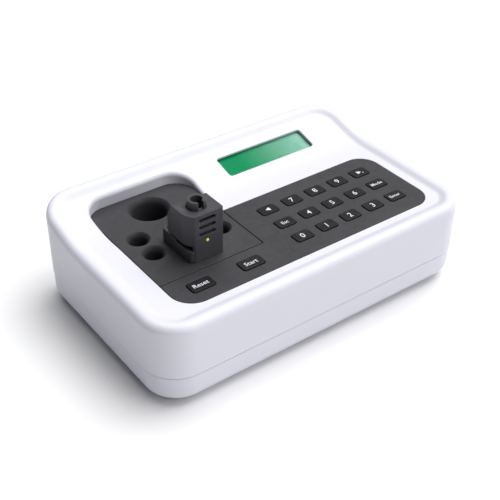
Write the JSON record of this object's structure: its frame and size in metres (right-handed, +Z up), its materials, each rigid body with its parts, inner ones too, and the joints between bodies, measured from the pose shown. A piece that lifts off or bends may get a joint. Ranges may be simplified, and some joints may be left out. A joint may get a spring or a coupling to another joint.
{
  "type": "single-position photometric analyser",
  "caption": "Desk-top photometric analyser: white two-part case, dark keypad, incubation wells, black measuring head and sloping green display.",
  "frame": {"origin": "under the middle of the casing, on the surface that the rubber feet stand on", "axes": "+X along the front to the user's right, +Y to the back, +Z up"},
  "size_m": [0.2336, 0.1466, 0.092],
  "materials": {
    "white_plastic": "fine satin moulded ABS",
    "dark_plastic": "fine matt dark grey moulding",
    "key_rubber": "matt black key caps with white legends",
    "head_plastic": "satin black-grey moulding",
    "black_plastic": "black moulding",
    "rubber": "black rubber",
    "aluminium": "milled",
    "steel": "plain",
    "board_green": "green solder mask",
    "lcd_green": "green display",
    "clear_window": "clear acrylic",
    "lamp_lens": "yellow-green lamp lens",
    "glass": "optical glass",
    "heater_orange": "polyimide heater foil",
    "cable_grey": "grey cable insulation",
    "label_silver": "blank silver film",
    "backlight_white": "white diffuser"
  },
  "bodies": {
    "case": {"upper_case": "white_plastic", "lower_case": "white_plastic", "case_screw_front_left": "steel", "case_screw_back_left": "steel", "case_screw_front_right": "steel", "case_screw_back_right": "steel", "foot_front_left": "rubber", "foot_back_left": "rubber", "foot_front_right": "rubber", "foot_back_right": "rubber", "rating_label": "label_silver", "keypad_panel": "dark_plastic", "sample_panel": "dark_plastic", "heater_block": "aluminium", "heater_mat": "heater_orange", "temperature_sensor": "steel", "head_cover": "head_plastic", "head_base": "head_plastic", "cuvette_holder": "head_plastic", "filter_lens": "glass", "light_source": "lamp_lens", "photodiode": "steel", "head_board": "board_green", "status_led": "lamp_lens", "head_screw_left": "steel", "head_screw_right": "steel", "lcd_window": "clear_window", "lcd_bezel": "black_plastic", "lcd_glass": "lcd_green", "lcd_backlight": "backlight_white", "lcd_board": "board_green", "main_board": "board_green", "power_board": "board_green", "heat_sink": "aluminium", "rear_panel": "black_plastic", "power_inlet": "black_plastic", "data_port": "black_plastic", "power_switch": "black_plastic", "power_lead": "cable_grey", "board_lead": "cable_grey", "head_lead": "cable_grey", "display_ribbon": "cable_grey"},
    "key_left": {"key_left": "key_rubber"},
    "key_7": {"key_7": "key_rubber"},
    "key_8": {"key_8": "key_rubber"},
    "key_9": {"key_9": "key_rubber"},
    "key_right": {"key_right": "key_rubber"},
    "key_esc": {"key_esc": "key_rubber"},
    "key_4": {"key_4": "key_rubber"},
    "key_5": {"key_5": "key_rubber"},
    "key_6": {"key_6": "key_rubber"},
    "key_mode": {"key_mode": "key_rubber"},
    "key_0": {"key_0": "key_rubber"},
    "key_1": {"key_1": "key_rubber"},
    "key_2": {"key_2": "key_rubber"},
    "key_3": {"key_3": "key_rubber"},
    "key_enter": {"key_enter": "key_rubber"},
    "reset_key": {"reset_key": "key_rubber"},
    "start_key": {"start_key": "key_rubber"},
    "power_rocker": {"power_rocker": "black_plastic"}
  },
  "joints": [
    {"name": "key_left_press", "type": "slide", "parent": "case", "child": "key_left", "axis": [0, 0, -1], "range_m": [0, 0.0008], "stiffness_N_per_m": 400, "springref_m": -0.0005},
    {"name": "key_7_press", "type": "slide", "parent": "case", "child": "key_7", "axis": [0, 0, -1], "range_m": [0, 0.0008], "stiffness_N_per_m": 400, "springref_m": -0.0005},
    {"name": "key_8_press", "type": "slide", "parent": "case", "child": "key_8", "axis": [0, 0, -1], "range_m": [0, 0.0008], "stiffness_N_per_m": 400, "springref_m": -0.0005},
    {"name": "key_9_press", "type": "slide", "parent": "case", "child": "key_9", "axis": [0, 0, -1], "range_m": [0, 0.0008], "stiffness_N_per_m": 400, "springref_m": -0.0005},
    {"name": "key_right_press", "type": "slide", "parent": "case", "child": "key_right", "axis": [0, 0, -1], "range_m": [0, 0.0008], "stiffness_N_per_m": 400, "springref_m": -0.0005},
    {"name": "key_esc_press", "type": "slide", "parent": "case", "child": "key_esc", "axis": [0, 0, -1], "range_m": [0, 0.0008], "stiffness_N_per_m": 400, "springref_m": -0.0005},
    {"name": "key_4_press", "type": "slide", "parent": "case", "child": "key_4", "axis": [0, 0, -1], "range_m": [0, 0.0008], "stiffness_N_per_m": 400, "springref_m": -0.0005},
    {"name": "key_5_press", "type": "slide", "parent": "case", "child": "key_5", "axis": [0, 0, -1], "range_m": [0, 0.0008], "stiffness_N_per_m": 400, "springref_m": -0.0005},
    {"name": "key_6_press", "type": "slide", "parent": "case", "child": "key_6", "axis": [0, 0, -1], "range_m": [0, 0.0008], "stiffness_N_per_m": 400, "springref_m": -0.0005},
    {"name": "key_mode_press", "type": "slide", "parent": "case", "child": "key_mode", "axis": [0, 0, -1], "range_m": [0, 0.0008], "stiffness_N_per_m": 400, "springref_m": -0.0005},
    {"name": "key_0_press", "type": "slide", "parent": "case", "child": "key_0", "axis": [0, 0, -1], "range_m": [0, 0.0008], "stiffness_N_per_m": 400, "springref_m": -0.0005},
    {"name": "key_1_press", "type": "slide", "parent": "case", "child": "key_1", "axis": [0, 0, -1], "range_m": [0, 0.0008], "stiffness_N_per_m": 400, "springref_m": -0.0005},
    {"name": "key_2_press", "type": "slide", "parent": "case", "child": "key_2", "axis": [0, 0, -1], "range_m": [0, 0.0008], "stiffness_N_per_m": 400, "springref_m": -0.0005},
    {"name": "key_3_press", "type": "slide", "parent": "case", "child": "key_3", "axis": [0, 0, -1], "range_m": [0, 0.0008], "stiffness_N_per_m": 400, "springref_m": -0.0005},
    {"name": "key_enter_press", "type": "slide", "parent": "case", "child": "key_enter", "axis": [0, 0, -1], "range_m": [0, 0.0008], "stiffness_N_per_m": 400, "springref_m": -0.0005},
    {"name": "reset_key_press", "type": "slide", "parent": "case", "child": "reset_key", "axis": [0, 0, -1], "range_m": [0, 0.0008], "stiffness_N_per_m": 400, "springref_m": -0.0005},
    {"name": "start_key_press", "type": "slide", "parent": "case", "child": "start_key", "axis": [0, 0, -1], "range_m": [0, 0.0008], "stiffness_N_per_m": 400, "springref_m": -0.0005},
    {"name": "power_rocker_tilt", "type": "hinge", "parent": "case", "child": "power_rocker", "pos_m": [0.072, 0.07015, 0.0385], "axis": [1, 0, 0], "range_deg": [0, 20]}
  ]
}
